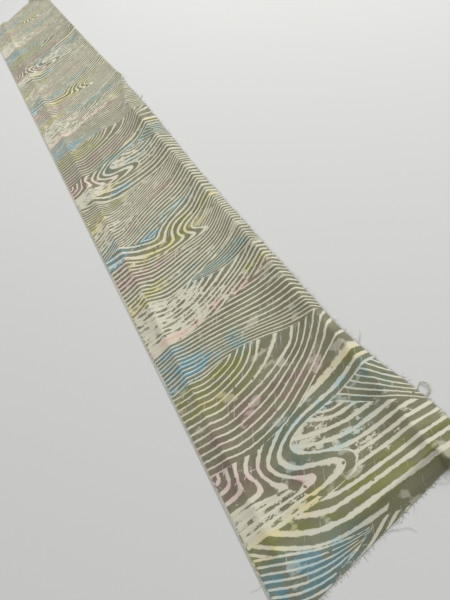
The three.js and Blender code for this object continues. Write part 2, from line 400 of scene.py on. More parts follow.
def tubes(name, routes, material, sides=5):
    """Thin round yarns in one mesh: each route is an array of points in metres and a list of radii."""
    vertices, faces = [], []
    for points, radii in routes:
        start = len(vertices)
        run = np.gradient(points, axis=0)
        run /= np.maximum(np.linalg.norm(run, axis=1, keepdims=True), 1e-12)
        side = np.cross(run, [0.21, 0.13, 0.97])
        side /= np.maximum(np.linalg.norm(side, axis=1, keepdims=True), 1e-12)
        up = np.cross(side, run)
        for point, u, v, radius in zip(points, side, up, radii):
            for k in range(sides):
                turn = 2 * math.pi * k / sides
                vertices.append(point + radius * (u * math.cos(turn) + v * math.sin(turn)))
        for j in range(len(points) - 1):
            for k in range(sides):
                p, q = start + j * sides + k, start + j * sides + (k + 1) % sides
                faces.append((p, q, q + sides, p + sides))
        faces.append(tuple(start + k for k in reversed(range(sides))))
        last = start + (len(points) - 1) * sides
        faces.append(tuple(last + k for k in range(sides)))
    mesh = bpy.data.meshes.new(name)
    mesh.from_pydata([tuple(v) for v in vertices], [], faces)
    mesh.polygons.foreach_set("use_smooth", np.ones(len(faces), bool))
    mesh.materials.append(material)
    return add_object(name, mesh)


# ---------------------------------------------------------------- the print

REPEAT = 434               # the design repeats after this much of its own length
PRINT_ACROSS = 0.9503      # the design's own measure for each mm of cloth
PRINT_ALONG = 0.9754
PRINT_START = 1.25

# The design is a set of fields of flowing lines. Each field has an outline, and guide lines, each
# with the number of the printed line that runs along it: the lines between two
# guides share out the gap. Points are (across, along) in one repeat. Where fields of one layer
# meet, the deeper one shows, and a field of a later layer covers those of the layers before it.
# FIELDS: layer, outline, [(line number, guide), ...], width of the pale lines, wear.
FIELDS = [
    # Layer 0.
    (0, [(0, 62), (60, 62), (150, 66), (182, 66), (182, 30), (84, 30), (45, 37), (22, 45), (0, 53)],
     [(0, [(-8, 70), (5, 61.5), (22, 50), (45, 38), (70, 34), (110, 33.5), (182, 34)]),
      (1, [(2, 73), (18, 63), (30, 55), (48, 46), (65, 42.5), (82, 41.5), (182, 43)]),
      (2, [(28, 70), (42, 61), (60, 52.5), (80, 50.5), (182, 50.5)]),
      (3, [(45, 68), (62, 60.5), (78, 56.5), (110, 56), (182, 57)]),
      (4, [(50, 76), (66, 66), (80, 63.5), (100, 62.5), (182, 63.5)])], 0.40, 0.0),
    (0, [(105, 109), (117, 112), (150, 118), (182, 122), (182, 60), (150, 79), (138, 86), (122, 97)],
     [(0, [(95, 114), (105, 109), (112, 106), (121, 98.5), (136, 86), (150, 78), (180, 55)]),
      (4, [(129, 120), (137, 108), (152, 92), (180, 70)])], 0.30, 0.0),
    (0, [(0, 115), (20, 113), (45, 112.5), (65, 114.5), (88, 121), (109, 132), (128, 141), (150, 148),
         (182, 160), (182, 190), (150, 176), (131, 177), (100, 186), (77, 194), (60, 193), (0, 188)],
     [(0, [(-5, 117), (0, 116), (29, 111.5), (54, 113), (79, 118.5), (104, 130), (129, 142), (182, 160)]),
      (1, [(-5, 122), (0, 122), (29, 117), (54, 118), (79, 124.4), (104, 136), (129, 149.6),
           (142, 160), (182, 190)]),
      (3, [(-5, 134), (0, 134), (29, 129.5), (54, 130.7), (79, 137), (104, 149), (117, 156),
           (135, 170), (160, 198)]),
      (6, [(-5, 152.7), (0, 152.7), (29, 148.5), (54, 151), (79, 156), (104, 165), (115, 173), (132, 196)]),
      (8, [(-5, 166), (0, 166), (29, 162), (54, 165.5), (71.6, 171), (83, 180), (98, 202)]),
      (11, [(-5, 183.5), (0, 183.5), (29, 179), (54, 182), (66, 188), (84, 206)])], 0.27, 0.0),
    (0, [(0, 236), (41, 236), (78, 239), (110, 244), (150, 246), (182, 250), (182, 278), (133, 275.5),
         (105, 275.5), (86, 279), (66, 286), (47, 283), (26, 290), (0, 289)],
     [(0, [(-5, 241), (0, 241), (41, 238.5), (71, 243), (97, 252.5), (129, 262.5), (182, 280)]),
      (3, [(-5, 257), (0, 257), (30, 254), (60, 255), (85, 261), (110, 270), (150, 288)]),
      (6, [(-5, 275), (0, 275), (28, 268), (50, 268), (66, 272), (86, 283), (110, 300)]),
      (8, [(-5, 287), (0, 287), (28, 280), (47, 278), (60, 281), (76, 292)])], 0.42, 0.72),
    (0, [(0, 372), (25, 382), (50, 376), (65, 373), (80, 384), (115, 396), (182, 408), (182, 456),
         (137, 442), (108, 433), (83, 428), (58, 419), (36, 408), (0, 396)],
     [(0, [(-5, 366), (0, 368), (20, 378), (36, 384), (60, 392), (88, 398), (115, 401), (182, 412)]),
      (5, [(-5, 388), (0, 391), (20, 396), (36.5, 404), (58, 415.5), (83, 424),
           (108, 429), (137, 438), (182, 450)])],
     0.42, 0.12),
    # Layer 1.
    (1, [(0, 60), (67, 59.5), (80, 64), (90, 72), (60, 90), (0, 92)],
     [(0, [(-5, 61.5), (110, 62)]), (5, [(-5, 86), (110, 84)])], 0.45, 0.75),
    (1, [(63, 98), (69, 104.5), (84, 109.5), (107, 110), (122, 97), (138, 86), (150, 79), (182, 60),
         (150, 60), (92, 60), (100, 70), (72, 90.5)],
     [(0, [(70, 118), (84, 110), (98, 101.5), (117, 99), (182, 99)]),
      (1, [(55, 112), (67, 103.5), (82, 98), (104, 93), (127, 91.8), (182, 92)]),
      (2, [(50, 108), (67, 97.5), (85, 89.5), (104, 85), (138, 84), (182, 84)]),
      (4, [(70, 82), (90, 74), (98, 71.6), (117, 70.4), (182, 69.5)]),
      (5, [(70, 66), (90, 64.5), (98, 64), (182, 63.5)])], 0.42, 1.0),
    (1, [(0, 189), (60, 192.5), (77, 193.5), (100, 185.5), (131, 176.5), (150, 176), (182, 184),
         (182, 250), (150, 246), (110, 244), (78, 239), (41, 235.5), (0, 236)],
     [(0, [(-5, 188), (30, 188), (60, 190), (90, 184), (120, 172), (150, 162), (182, 156)]),
      (7, [(-5, 217), (0, 217), (23, 216.5), (60, 212), (100, 203), (142, 192), (182, 186)]),
      (12, [(-5, 236), (0, 236), (40, 235), (76, 232), (100, 228.5), (150, 220), (182, 214)])], 0.33, 0.0),
    (1, [(0, 289), (26, 291), (47, 283.5), (66, 286.5), (88, 291), (110, 297), (129, 302), (150, 310),
         (182, 320), (182, 382), (150, 376), (112, 360), (82, 342), (50, 350), (24, 364), (0, 368)],
     [(0, [(-5, 290), (0, 290), (26, 292), (47, 286), (78, 289.5), (116, 299), (141, 309), (182, 322)]),
      (5, [(-5, 318), (0, 318), (27, 317), (41, 312), (78, 313.5), (116, 318.6), (141, 331), (182, 350)]),
      (8, [(-5, 336), (0, 336), (27, 334), (50, 328), (80, 329), (116, 331), (182, 368)]),
      (13, [(-5, 369), (0, 369), (24, 364), (50, 350), (80, 346), (116, 350), (182, 390)])], 0.42, 0.3),
    (1, [(0, 396), (36, 408), (58, 419), (83, 428), (108, 433), (137, 442), (182, 456), (182, 464),
         (128, 464.5), (58, 464.5), (29, 468), (0, 470)],
     [(0, [(-5, 396), (0, 397), (36, 408), (58, 419), (83, 428), (108, 433), (137, 442), (182, 458)]),
      (4, [(-5, 420), (0, 420), (36, 428), (70, 437), (110, 451), (140, 462), (182, 478)]),
      (9, [(-5, 450), (0, 450), (36, 450), (70, 456), (110, 472), (182, 500)])], 0.44, 0.5),
    # Layer 2.
    (2, [(0, 115.5), (20, 113), (45, 112.5), (65, 114.5), (88, 121), (109, 132), (128, 141), (150, 147),
         (182, 158), (182, 118), (150, 117), (117, 111), (84, 108), (69, 104), (65, 98.7), (72, 90.5),
         (85, 83), (98, 75.4), (100.5, 69), (92, 61.6), (67, 58.5), (60, 64), (46, 78), (20, 82), (0, 84)],
     [(0, [(182, 121), (147, 117), (117, 111), (84, 108), (69, 104), (65, 98.7), (72, 90.5), (85, 83),
           (98, 75.4), (100, 69), (92, 61.6), (67, 58), (40, 57)]),
      (1, [(182, 128), (146, 124), (118, 117), (85, 113.5), (62, 106), (52, 97), (59, 85), (76, 79),
           (87, 74.5), (87.5, 68.5), (79, 66), (62, 65.5), (35, 65)]),
      (2, [(182, 140), (145, 132), (108, 126), (80, 120), (62, 113), (43.5, 99), (48, 87), (58, 79.5),
           (66, 75.5), (63, 71.5), (45, 71), (30, 71)]),
      (3, [(90, 134), (60, 121), (45, 112), (35.5, 99), (40, 86), (46, 80.5), (44, 77), (28, 76.5)]),
      (4, [(60, 134), (42, 122), (34, 113), (27, 103), (30.5, 93), (30, 87), (22, 84.5), (-5, 85)]),
      (6, [(18, 124), (15, 113), (13.5, 105), (9, 101.5), (-5, 101.5)]),
      (7, [(7, 124), (7, 113), (5, 109.5), (-5, 109)])], 0.40, 0.10),
    (2, [(0, 442), (29, 448), (58, 458), (84, 464), (70, 465.5), (45, 471.5), (22, 480.5), (0, 489)],
     [(0, [(-5, 490), (0, 488), (22, 479.5), (45, 470.5), (70, 465), (100, 464)]),
      (-5, [(-5, 466), (0, 465), (22, 457), (45, 455), (70, 459), (100, 463.5)]),
      (-8, [(-5, 452), (0, 450), (22, 445), (45, 445), (70, 452), (100, 463)])], 0.36, 0.12),
    (2, [(68, 286.5), (88.6, 290), (110, 296), (129, 301), (150, 309), (182, 320), (182, 279),
         (150, 277), (133, 275.5), (105, 275.5), (86, 279)],
     [(0, [(60, 290), (68, 285.5), (90, 279), (110, 276.5), (182, 278)]),
      (6, [(60, 283), (80, 290), (100, 293), (125, 299), (150, 307), (182, 318)])], 0.32, 0.0),
    (2, [(0, 370), (24, 366), (45, 352), (62, 342), (82, 329.5), (112, 329.5), (118, 334), (111, 342),
         (106, 348), (112, 354), (133, 362), (182, 376), (182, 410), (115, 397), (80, 385), (65, 374),
         (50, 377), (25, 386), (0, 384)],
     [(0, [(50, 327), (82, 331), (112, 332), (116, 334.5), (109, 341), (103.5, 347), (106, 353), (116, 358),
           (133, 363.5), (182, 376)]),
      (1, [(50, 333), (82, 335), (99, 335.5), (101.5, 339), (96.5, 345), (94.5, 350), (98, 356), (106, 360),
           (121, 364), (133, 370), (182, 384)]),
      (2, [(30, 342), (70, 341), (86, 341), (90.5, 345.5), (87.5, 350), (88, 356), (94, 361), (103, 365.5),
           (115.6, 368.5), (133, 375.5), (182, 390)]),
      (3, [(0, 375), (24, 366), (45, 355), (68, 346.5), (77, 347.6), (80.5, 352), (81.5, 359), (86, 366),
           (93, 371), (115.6, 375), (133, 383), (182, 398)]),
      (4, [(0, 383), (25, 375), (51.5, 362), (62, 358.5), (69, 357.8), (73, 361), (77, 367), (84, 373),
           (95, 377.5), (115.6, 382.5), (133, 391), (182, 406)]),
      (5, [(0, 391), (25, 385), (45, 374), (58, 367.5), (66, 367.5), (72, 374), (85, 381.5), (115, 391),
           (182, 412)])], 0.42, 0.0),
]
LAYERS = 3
PITCH_OUTSIDE = 5.0        # spacing of the lines beyond the outermost guides
NO_FIELD = -60.0           # depth where a layer has no field
FIELD_REACH = 9            # a field is worked out this far beyond its outline
# At the near end one place is left without lines.
PLAIN_PLACE = [(92, 31), (104, 28), (182, 28), (182, 39.5), (120, 38), (100, 37)]

# Colours of the ground between the lines, and of the pale lines.
GROUND = (0.205, 0.198, 0.124)
OLIVE = (0.205, 0.210, 0.060)
TEAL = (0.110, 0.185, 0.150)
BROWN = (0.21, 0.145, 0.12)
BLUE = (0.10, 0.23, 0.28)
PALE = (0.66, 0.63, 0.50)
YELLOW = (0.68, 0.61, 0.33)
PINK = (0.68, 0.53, 0.49)
SKY = (0.47, 0.60, 0.60)
PEACH = (0.70, 0.54, 0.43)
# Patches of brushed colour: across, along, half width, half length, ground, line colour, strength.
# A later patch lies over the earlier ones, and a strong one wears the lines as well.
PATCHES = [
    (80, 50, 110, 15, OLIVE, PALE, 0.9), (16, 55, 26, 9, OLIVE, YELLOW, 1.0),
    (22, 30, 50, 16, BLUE, SKY, 0.95), (44, 60, 18, 5, OLIVE, YELLOW, 1.0),
    (60, 66, 14, 6, OLIVE, YELLOW, 0.9), (130, 50, 60, 10, OLIVE, PALE, 0.5),
    (10, 104, 26, 16, BROWN, PINK, 1.0), (36, 94, 10, 12, BROWN, PINK, 0.7),
    (60, 94, 12, 16, TEAL, SKY, 0.7), (100, 116, 50, 9, TEAL, SKY, 0.9),
    (125, 128, 40, 6, OLIVE, YELLOW, 0.9), (138, 104, 24, 14, TEAL, SKY, 0.7),
    (100, 84, 26, 8, TEAL, SKY, 0.6), (60, 76, 11, 7, BROWN, PINK, 1.0),
    (70, 138, 60, 14, BROWN, PINK, 0.7), (56, 142, 8, 9, BROWN, PINK, 1.0),
    (40, 168, 40, 12, OLIVE, YELLOW, 0.8), (36, 184, 44, 8, OLIVE, YELLOW, 1.2),
    (10, 130, 16, 12, BROWN, PINK, 0.6), (22, 204, 34, 14, BLUE, SKY, 1.1),
    (74, 200, 10, 14, TEAL, SKY, 0.9), (10, 226, 24, 8, BLUE, SKY, 0.8),
    (20, 241, 44, 5, BROWN, PEACH, 1.2), (100, 246, 40, 6, BROWN, PEACH, 1.0),
    (130, 255, 14, 6, OLIVE, YELLOW, 1.0), (110, 286, 40, 10, TEAL, SKY, 0.8),
    (16, 300, 22, 10, OLIVE, YELLOW, 1.0), (40, 307, 12, 7, OLIVE, YELLOW, 1.1),
    (70, 300, 20, 6, TEAL, SKY, 0.6), (30, 335, 50, 12, BROWN, PINK, 0.9),
    (10, 352, 18, 12, BROWN, PINK, 0.8), (70, 350, 50, 14, OLIVE, YELLOW, 1.0),
    (105, 366, 50, 8, OLIVE, YELLOW, 0.7), (12, 374, 20, 13, BLUE, SKY, 1.0),
    (55, 377, 20, 9, BLUE, SKY, 0.9), (90, 392, 40, 8, TEAL, SKY, 0.7),
    (15, 396, 20, 8, TEAL, SKY, 0.6), (98, 435, 24, 6, BROWN, PEACH, 0.9),
    (42, 408, 24, 10, BROWN, PINK, 0.5), (12, 448, 18, 18, OLIVE, YELLOW, 1.1),
    (48, 462, 18, 6, OLIVE, YELLOW, 0.8), (62, 480, 16, 7, BLUE, SKY, 0.9),
]
FIRST_BRUSHED = 56         # patches up to here lie at the near end only


def curve_through(points, pieces=6):
    """Points of a smooth curve through the given ones."""
    knots = np.array(points, float)
    knots = np.concatenate([[2 * knots[0] - knots[1]], knots, [2 * knots[-1] - knots[-2]]])
    found = []
    for p, a, b, q in zip(knots, knots[1:], knots[2:], knots[3:]):
        for k in range(pieces):
            u = k / pieces
            square = 2 * p - 5 * a + 4 * b - q
            cube = 3 * a - p - 3 * b + q
            found.append(0.5 * (2 * a + (b - p) * u + square * u**2 + cube * u**3))
    return np.array(found + [knots[-2]])


def side_distance(line, x, y, lengthen):
    """Distance from points to a run of straight pieces, above 0 on its left-hand side."""
    best = np.full(x.shape, 1e9)
    signed = np.zeros(x.shape)
    last = len(line) - 2
    for k, ((ax, ay), (bx, by)) in enumerate(zip(line, line[1:])):
        dx, dy = bx - ax, by - ay
        size = dx * dx + dy * dy
        if size < 1e-9:
            continue
        u = ((x - ax) * dx + (y - ay) * dy) / size
        u = np.clip(u, -9 if lengthen and k == 0 else 0, 9 if lengthen and k == last else 1)
        px, py = x - ax - u * dx, y - ay - u * dy
        distance = px * px + py * py
        nearer = distance < best
        best = np.where(nearer, distance, best)
        signed = np.where(nearer, np.sign(dx * (y - ay) - dy * (x - ax)), signed)
    return np.sqrt(best) * np.where(signed < 0, -1, 1)


def inside(outline, x, y):
    """Distance to the outline's edge, above 0 inside it."""
    ring = np.array(outline + outline[:1], float)
    far = np.abs(side_distance(ring, x, y, False))
    crossed = np.zeros(x.shape, bool)
    for (ax, ay), (bx, by) in zip(ring, ring[1:]):
        if ay == by:
            continue
        meets = (ay > y) != (by > y)
        crossed ^= meets & (x < ax + (y - ay) / (by - ay) * (bx - ax))
    return np.where(crossed, far, -far)


def line_number(guides, x, y):
    """The running number of the printed line at each point, whole on a line's middle."""
    numbers = [g[0] for g in guides]
    sides = [side_distance(curve_through(g[1]), x, y, True) for g in guides]
    # Guides may run either way: a later guide lies on the side that counts as beyond.
    for k, (number, points) in enumerate(guides):
        other = guides[k + 1] if k + 1 < len(guides) else guides[k - 1]
        middle = curve_through(other[1])
        middle = middle[len(middle) // 2]
        beyond = side_distance(curve_through(points), middle[:1], middle[1:], True)[0]
        if (beyond < 0) == (k + 1 < len(guides)):
            sides[k] = -sides[k]
    gaps = [abs(b - a) for a, b in zip(numbers, numbers[1:])]
    direction = 1 if numbers[1] > numbers[0] else -1
    found = numbers[0] + direction * sides[0] / PITCH_OUTSIDE
    for k in range(len(guides) - 1):
        share = sides[k] / np.maximum(sides[k] - sides[k + 1], 1e-6)
        between = numbers[k] + direction * gaps[k] * np.clip(share, 0, 1)
        found = np.where(sides[k] >= 0, between, found)
        past = (sides[k] >= 0) & (sides[k + 1] >= 0)
        found = np.where(past, numbers[k + 1] + direction * sides[k + 1] / PITCH_OUTSIDE, found)
    return found


def print_fields(s, t):
    """Everything that the cloth's materials need to know about the print, for each plan place."""
    s, t = s * PRINT_ACROSS, t * PRINT_ALONG + PRINT_START
    base = np.mod(t, REPEAT)
    numbers = np.zeros((LAYERS, len(s)))
    depths = np.full((LAYERS, len(s)), NO_FIELD)
    widths = np.full((LAYERS, len(s)), 0.35)
    wears = np.zeros((LAYERS, len(s)))
    for layer, outline, guides, width, wear in FIELDS:
        for shift in (0, REPEAT, -REPEAT):
            u = base + shift
            low, high = min(p[1] for p in outline), max(p[1] for p in outline)
            near = (u > low - FIELD_REACH) & (u < high + FIELD_REACH)
            if not near.any():
                continue
            x, y = s[near], u[near]
            depth = inside(outline, x, y)
            chosen = depth > depths[layer][near]
            where = np.flatnonzero(near)[chosen]
            if not len(where):
                continue
            depths[layer][where] = depth[chosen]
            numbers[layer][where] = line_number(guides, x[chosen], y[chosen])
            widths[layer][where] = width
            # The print is more worn towards the selvage.
            wears[layer][where] = wear * (1.25 - x[chosen] / 150)
    depth = inside(PLAIN_PLACE, s, t)
    chosen = depth > depths[2]
    depths[2][chosen] = depth[chosen]
    numbers[2][chosen] = 0.5
    wears[2][chosen] = 0.0
    ground = np.tile(np.array(GROUND), (len(s), 1))
    pale = np.tile(np.array(PALE), (len(s), 1))
    bleached = np.zeros(len(s))
    for across, along, wide, deep, ground_colour, pale_colour, strength in PATCHES:
        # The first brush marks lie at the near end only; the others come back with the design.
        turns = np.maximum(np.round((t - along) / REPEAT), 0) if along > FIRST_BRUSHED else 0
        away = t - along - turns * REPEAT
        reach = ((s - across) / wide) ** 2 + (away / deep) ** 2
        share = np.clip(strength * np.exp(-reach * reach * 0.9), 0, 1)[:, None]
        ground = ground + (np.array(ground_colour) - ground) * share
        pale = pale + (np.array(pale_colour) - pale) * share
        if strength >= 1:
            bleached = np.maximum(bleached, 0.25 * share[:, 0])
    opaque = np.ones((len(s), 1))
    return {
        "line_numbers": numbers.T,
        "field_depths": np.column_stack([depths[1], depths[2], bleached]),
        "line_widths": widths.T,
        "wear": wears.T,
        "ground_tint": np.hstack([ground, opaque]),
        "pale_tint": np.hstack([pale, opaque]),
    }


# ---------------------------------------------------------------- materials

SPECULAR = 0.25
SHEEN_ROUGHNESS = 0.6


class Nodes:
    """A new material whose nodes are made one call at a time."""

    def __init__(self, name, roughness, sheen=0.0):
        self.material = bpy.data.materials.new(name)
        self.material.use_nodes = True
        self.tree = self.material.node_tree
        self.shader = self.tree.nodes["Principled BSDF"]
        self.shader.inputs["Roughness"].default_value = roughness
        self.shader.inputs["Metallic"].default_value = 0.0
        self.shader.inputs["Specular IOR Level"].default_value = SPECULAR
        self.shader.inputs["Sheen Weight"].default_value = sheen
        self.shader.inputs["Sheen Roughness"].default_value = SHEEN_ROUGHNESS

    def put(self, socket, value):
        if isinstance(value, bpy.types.NodeSocket):
            self.tree.links.new(value, socket)
        else:
            socket.default_value = value

    def attribute(self, name, output="Color"):
        node = self.tree.nodes.new("ShaderNodeAttribute")
        node.attribute_name = name
        return node.outputs[output]

    def numbers(self, name):
        """The three numbers of a mesh attribute."""
        vector = self.attribute(name, "Vector")
        node = self.tree.nodes.new("ShaderNodeSeparateXYZ")
        self.put(node.inputs[0], vector)
        return node.outputs

    def join(self, x, y, z):
        node = self.tree.nodes.new("ShaderNodeCombineXYZ")
        for socket, value in zip(node.inputs, (x, y, z)):
            self.put(socket, value)
        return node.outputs[0]

    def math(self, operation, first, second=0.0, third=0.0):
        node = self.tree.nodes.new("ShaderNodeMath")
        node.operation = operation
        for socket, value in zip(node.inputs, (first, second, third)):
            self.put(socket, value)
        return node.outputs[0]

    def times(self, first, second):
        return self.math("MULTIPLY", first, second)

    def plus(self, first, second):
        return self.math("ADD", first, second)

    def minus(self, first, second):
        return self.math("SUBTRACT", first, second)

    def ramp(self, value, low, high, first=0.0, second=1.0):
        node = self.tree.nodes.new("ShaderNodeMapRange")
        for socket, entry in zip(node.inputs, (value, low, high, first, second)):
            self.put(socket, entry)
        return node.outputs[0]

    def mix(self, share, first, second):
        """A number between two others."""
        node = self.tree.nodes.new("ShaderNodeMix")
        self.put(node.inputs["Factor"], share)
        self.put(node.inputs[2], first)
        self.put(node.inputs[3], second)
        return node.outputs[0]

    def blend(self, share, first, second, kind="MIX"):
        """A colour between two others."""
        node = self.tree.nodes.new("ShaderNodeMix")
        node.data_type = "RGBA"
        node.blend_type = kind
        self.put(node.inputs["Factor"], share)
        self.put(node.inputs[6], first)
        self.put(node.inputs[7], second)
        return node.outputs[2]

    def shaded(self, colour, factor):
        """A colour made darker or lighter by a factor."""
        grey = self.join(factor, factor, factor)
        return self.blend(1.0, colour, grey, "MULTIPLY")

    def paint(self, colour):
        self.put(self.shader.inputs["Base Color"], colour)

    def noise(self, vector, scale, detail=2.0):
        node = self.tree.nodes.new("ShaderNodeTexNoise")
        self.put(node.inputs["Vector"], vector)
        node.inputs["Scale"].default_value = scale
        node.inputs["Detail"].default_value = detail
        return node.outputs["Fac"]

    def bump(self, height, distance, strength=1.0):
        node = self.tree.nodes.new("ShaderNodeBump")
        node.inputs["Strength"].default_value = strength
        node.inputs["Distance"].default_value = distance
        self.put(node.inputs["Height"], height)
        self.put(self.shader.inputs["Normal"], node.outputs["Normal"])

    def weave(self, s, t, pitch):
        """A height from 0 to 1 of crossing yarns, over and under in turn."""
        turns = 2 * math.pi / pitch
        across = self.math("SINE", self.times(s, turns))
        along = self.math("SINE", self.times(t, turns))
        return self.ramp(self.times(across, along), -1, 1)


WASHED = (0.42, 0.41, 0.34)           # the back of the print
SELVAGE_PALE = (0.56, 0.55, 0.46)
YARN_DARK = (0.36, 0.35, 0.27)
YARN_PALE = (0.62, 0.60, 0.50)


def printed_cloth():
    made = Nodes("printed cloth", roughness=0.86, sheen=0.1)
    s, t, side = made.numbers("cloth_place")
    numbers = made.numbers("line_numbers")
    widths = made.numbers("line_widths")
    wears = made.numbers("wear")
    first_depth, second_depth, bleached = made.numbers("field_depths")
    flat = made.join(s, t, 0.0)
    # Which field shows here, with a hand-cut edge.
    rough = made.math("MULTIPLY_ADD", made.noise(flat, 0.4, 2.0), 1.6, -0.8)
    second = made.math("GREATER_THAN", made.plus(second_depth, rough), 0.0)
    first = made.math("GREATER_THAN", made.plus(first_depth, rough), 0.0)

    def stretched(factor, seed):
        return made.join(s, made.times(t, factor), seed)

    def shown(layers):
        return made.mix(second, made.mix(first, layers[0], layers[1]), layers[2])

    # The carved pale lines: their middles wander a little, their widths vary, and some are cut short.
    wander = made.math("MULTIPLY_ADD", made.noise(flat, 0.26, 1.5), 0.20, -0.10)
    number = made.plus(shown(numbers), wander)
    line = made.math("ROUND", number)
    away = made.times(made.math("ABSOLUTE", made.minus(number, line)), 2.0)
    own = made.times(line, 7.7)
    long_place = made.join(made.times(s, 0.10), made.times(t, 0.10), own)
    varied = made.ramp(made.noise(long_place, 1.0), 0.25, 0.75, 0.68, 1.16)
    width = made.times(shown(widths), varied)
    short_place = made.join(made.times(s, 0.16), made.times(t, 0.16), own)
    cut = made.ramp(made.noise(short_place, 1.0, 1.0), 0.735, 0.75, 0.0, 1.0)
    # Worn places: the pale colour spreads over the ground in dry brush marks.
    ground_number = made.times(made.math("FLOOR", number), 3.9)
    brush_place = made.join(made.times(s, 0.11), made.times(t, 0.20), ground_number)
    brush = made.times(made.noise(brush_place, 1.0, 5.0), 0.7)
    grain = made.noise(stretched(1.6, 0.0), 0.55, 4.0)
    brush = made.math("MULTIPLY_ADD", grain, 0.3, brush)
    wear = made.plus(shown(wears), bleached)
    limit = made.math("MULTIPLY_ADD", wear, 0.30, 0.29)
    worn = made.times(made.ramp(made.minus(limit, brush), -0.015, 0.03), 0.9)
    lines = made.ramp(made.minus(width, away), -0.07, 0.07)
    lines = made.times(lines, made.minus(1.0, cut))
    pale = made.math("MAXIMUM", lines, worn)
    # The ground varies in long streaks, and brushed colours lie patchily over both.
    ground_tint = made.attribute("ground_tint")
    pale_tint = made.attribute("pale_tint")
    patch = made.ramp(made.noise(stretched(1.5, 2.0), 0.07, 4.0), 0.46, 0.54)
    ground = made.blend(made.math("MULTIPLY_ADD", patch, 0.6, 0.2), ground_tint, (*GROUND, 1.0))
    streak = made.noise(stretched(3.0, 4.0), 0.03, 5.0)
    streak = made.ramp(streak, 0.3, 0.7, 0.80, 1.18)
    ground = made.shaded(ground, streak)
    pale_colour = made.blend(made.math("MULTIPLY_ADD", patch, 0.75, 0.05), pale_tint, (*PALE, 1.0))
    colour = made.blend(pale, ground, pale_colour)
    # Here and there a dab of the brushed colour covers lines and ground alike.
    dab = made.noise(stretched(1.6, 5.0), 0.055, 4.0)
    colour = made.blend(made.ramp(dab, 0.605, 0.65, 0.0, 0.45), colour, pale_tint)
    # Thin scratches of pink and light blue run slantwise over the design.
    slant = made.math("MULTIPLY_ADD", s, 0.86, made.times(t, -0.5))
    down = made.math("MULTIPLY_ADD", s, 0.5, made.times(t, 0.86))
    scratch_place = made.join(made.times(slant, 0.9), made.times(down, 0.035), 1.0)
    scratch = made.noise(scratch_place, 1.0, 2.0)
    scratch = made.ramp(scratch, 0.665, 0.71, 0.0, 0.7)
    hue = made.ramp(made.noise(made.join(s, t, 8.0), 0.012, 1.0), 0.45, 0.55)
    scratch_colour = made.blend(hue, (*PINK, 1.0), (*SKY, 1.0))
    colour = made.blend(scratch, colour, scratch_colour)
    # Dry specks where the weave shows through.
    fleck = made.noise(stretched(1.3, 6.0), 1.5, 2.0)
    colour = made.blend(made.ramp(fleck, 0.62, 0.76, 0.0, 0.30), colour, (*PALE, 1.0))
    # The back shows the design washed out.
    back = made.times(made.math("LESS_THAN", side, 0.5), 0.5)
    colour = made.blend(back, colour, (*WASHED, 1.0))
    made.paint(colour)
    yarns = made.weave(s, t, 1.1)
    slack = made.noise(made.join(s, t, 3.0), 0.9, 3.0)
    made.bump(made.math("MULTIPLY_ADD", slack, 0.8, yarns), 0.00012, 0.55)
    return made.material


def woven_selvage():
    """The tight pale edge band, with the printed colours only faintly in it."""
    made = Nodes("woven selvage", roughness=0.88, sheen=0.1)
    s, t, _ = made.numbers("cloth_place")
    numbers = made.numbers("line_numbers")
    line = made.math("ABSOLUTE", made.minus(made.math("FRACT", numbers[0]), 0.5))
    ground_tint = made.attribute("ground_tint")
    pale_tint = made.attribute("pale_tint")
    inner = made.ramp(s, 0.4, 2.2, 0.0, 1.0)
    printed_colour = made.blend(made.ramp(line, 0.28, 0.34), ground_tint, pale_tint)
    colour = made.blend(made.times(inner, 0.7), (*SELVAGE_PALE, 1.0), printed_colour)
    tooth = made.ramp(made.math("SINE", made.times(t, 2 * math.pi / 1.6)), -1, 1, 0.84, 1.0)
    colour = made.shaded(colour, tooth)
    made.paint(colour)
    made.bump(made.weave(s, t, 1.0), 0.0002, 0.7)
    return made.material


def loose_yarn():
    """Plain yarn, its tone varying between grey and pale."""
    made = Nodes("loose yarn", roughness=0.92, sheen=0.2)
    spot = made.tree.nodes.new("ShaderNodeTexCoord").outputs["Object"]
    tone = made.ramp(made.noise(spot, 260.0, 2.0), 0.35, 0.65)
    colour = made.blend(tone, (*YARN_DARK, 1.0), (*YARN_PALE, 1.0))
    made.paint(colour)
    made.bump(made.noise(spot, 2600.0, 1.0), 0.00006, 0.5)
    return made.material


# ---------------------------------------------------------------- pieces of cloth

COLUMN_LINE = [0, *np.cumsum(COLUMN_CELLS)]
ROW_LINE = [0, *np.cumsum(ROW_CELLS)]
BAND_END, MARGIN_INNER, CREASE, PANEL_START, CORNER_COLUMN, PANEL_END, FOLD, CUT_START = COLUMN_LINE[1:9]
LIP_INNER, RIDGE, RIDGE_END = ROW_LINE[1:4]
CORNER_ROW = ROW_LINE[5]
along_fold = grid_t[:, FOLD]
STEP_ROW = int(np.searchsorted(along_fold, CUT_CREASE_END))
MARGIN_ROW = int(np.searchsorted(along_fold, MARGIN_END))
TURN_ROW = int(np.searchsorted(along_fold, TURN_START))

grid_normals = unit_normals(grid_points)
printed = printed_cloth()
woven_band = woven_selvage()
raw_yarn = loose_yarn()


def no_cells(points):
    return np.zeros((points.shape[0] - 1, points.shape[1] - 1), bool)


def cells(*blocks):
    """Marks blocks of grid cells: each block is (first column, end column, first row, end row)."""
    keep = no_cells(grid_points)
    for first_column, end_column, first_row, end_row in blocks:
        keep[first_row:end_row, first_column:end_column] = True
    return keep


def cloth(name, *blocks, material=None):
    return closed_sheet(name, grid_points, grid_normals, grid_plan, cells(*blocks), material or printed)


END = grid_points.shape[0] - 1
RIGHT = grid_points.shape[1] - 1

